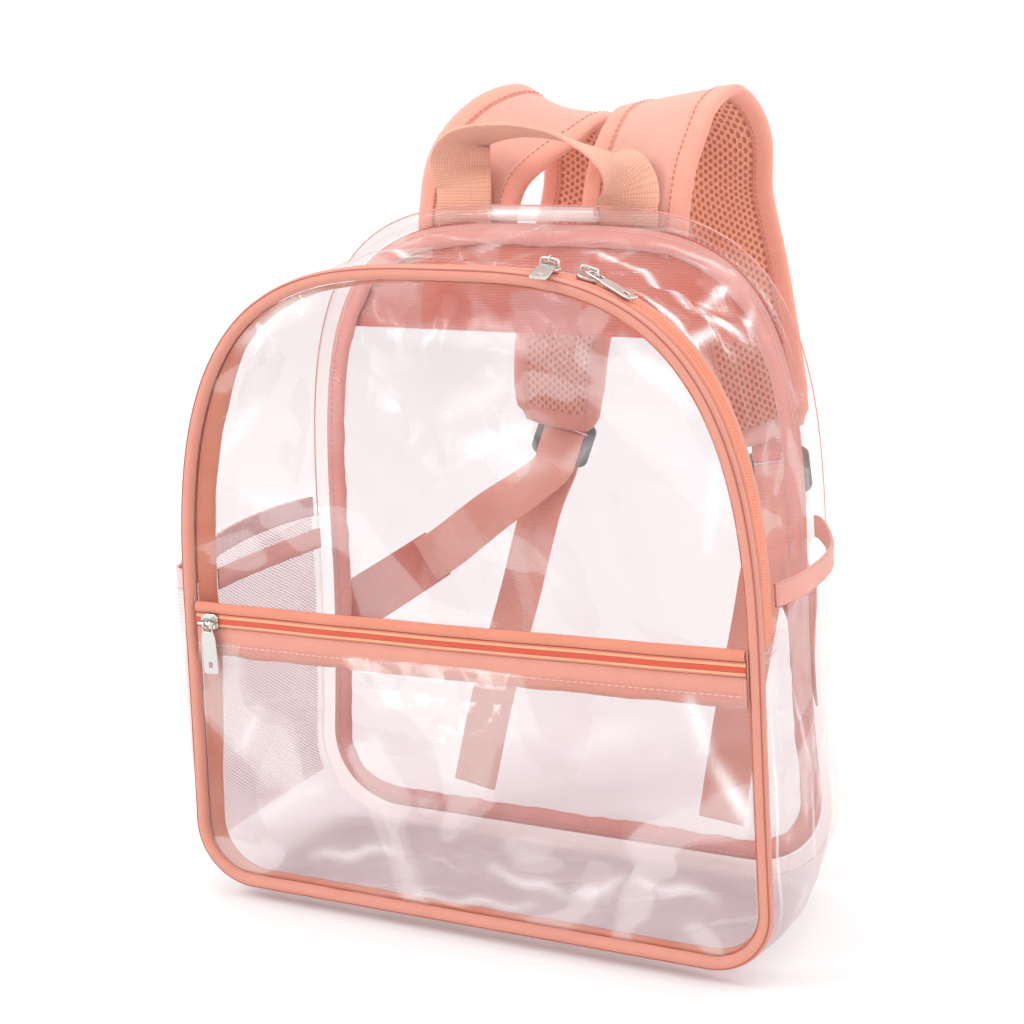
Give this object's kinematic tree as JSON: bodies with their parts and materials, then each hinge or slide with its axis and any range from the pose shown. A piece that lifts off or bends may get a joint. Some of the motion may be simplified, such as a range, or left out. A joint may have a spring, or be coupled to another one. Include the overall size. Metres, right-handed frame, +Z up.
{
  "type": "backpack",
  "caption": "Small see-through backpack with an arched zip, a flat front pocket, side pockets, padded shoulder straps and a webbing handle.",
  "frame": {"origin": "on the ground under the middle of the bag, halfway between the front seam and the back seam", "axes": "+X to the right when the front faces you, +Y from the front panel to the back panel and the straps, +Z up"},
  "size_m": [0.3304, 0.2336, 0.4005],
  "materials": {
    "clear_sheet": "clear glossy vinyl sheet",
    "piping": "satin woven cord cover",
    "binding_tape": "folded ribbed tape",
    "zip_tape": "woven zip tape",
    "zip_teeth": "moulded nylon coil",
    "ribbed_fabric": "ribbed heavy tape",
    "net": "fine open net",
    "strap_fabric": "plain woven cloth",
    "air_mesh": "air mesh with oval holes",
    "webbing": "waffle-ribbed webbing",
    "dark_plastic": "moulded, satin",
    "nickel": "nickel plate"
  },
  "bodies": {
    "bag": {"front_piping": "piping", "rear_piping": "clear_sheet", "front_binding": "binding_tape", "rear_binding": "binding_tape", "zip_tape_front": "zip_tape", "zip_coil": "zip_teeth", "zip_tape_back": "zip_tape", "gusset_top": "clear_sheet", "zip_hem_right": "clear_sheet", "zip_hem_left": "clear_sheet", "gusset_bottom": "clear_sheet", "front_panel": "clear_sheet", "back_panel": "clear_sheet", "back_yoke": "ribbed_fabric", "pocket_zip_welt": "zip_tape", "pocket_zip_coil": "zip_teeth", "pocket_zip_tape": "zip_tape", "front_pocket": "clear_sheet", "side_pocket_mesh": "net", "side_pocket_mesh_band": "binding_tape", "side_pocket_clear": "clear_sheet", "side_pocket_clear_band": "binding_tape", "strap_left": "strap_fabric", "strap_mesh_left": "air_mesh", "strap_right": "strap_fabric", "strap_mesh_right": "air_mesh", "handle": "webbing", "ladder_lock_left": "dark_plastic", "ladder_lock_right": "dark_plastic", "strap_loop_left": "binding_tape", "strap_loop_right": "binding_tape", "webbing_left": "webbing", "webbing_right": "webbing", "strap_tab_left": "ribbed_fabric", "strap_tab_right": "ribbed_fabric", "slider_main_a": "nickel", "slider_main_b": "nickel", "slider_pocket": "nickel"},
    "puller_a": {"puller_main_a": "nickel"},
    "puller_b": {"puller_main_b": "nickel"},
    "puller_p": {"puller_pocket": "nickel"}
  },
  "joints": [
    {"name": "puller_a_hinge", "type": "hinge", "parent": "bag", "child": "puller_a", "pos_m": [0.04721, -0.049, 0.32869], "axis": [-0.9902, 0, 0.1393], "range_deg": [0, 170]},
    {"name": "puller_b_hinge", "type": "hinge", "parent": "bag", "child": "puller_b", "pos_m": [0.0661, -0.049, 0.32263], "axis": [-0.2019, -0.9778, 0.0553], "range_deg": [0, 120]},
    {"name": "puller_p_hinge", "type": "hinge", "parent": "bag", "child": "puller_p", "pos_m": [-0.13577, -0.07197, 0.14668], "axis": [-0.9998, 0, -0.02], "range_deg": [0, 170]}
  ]
}
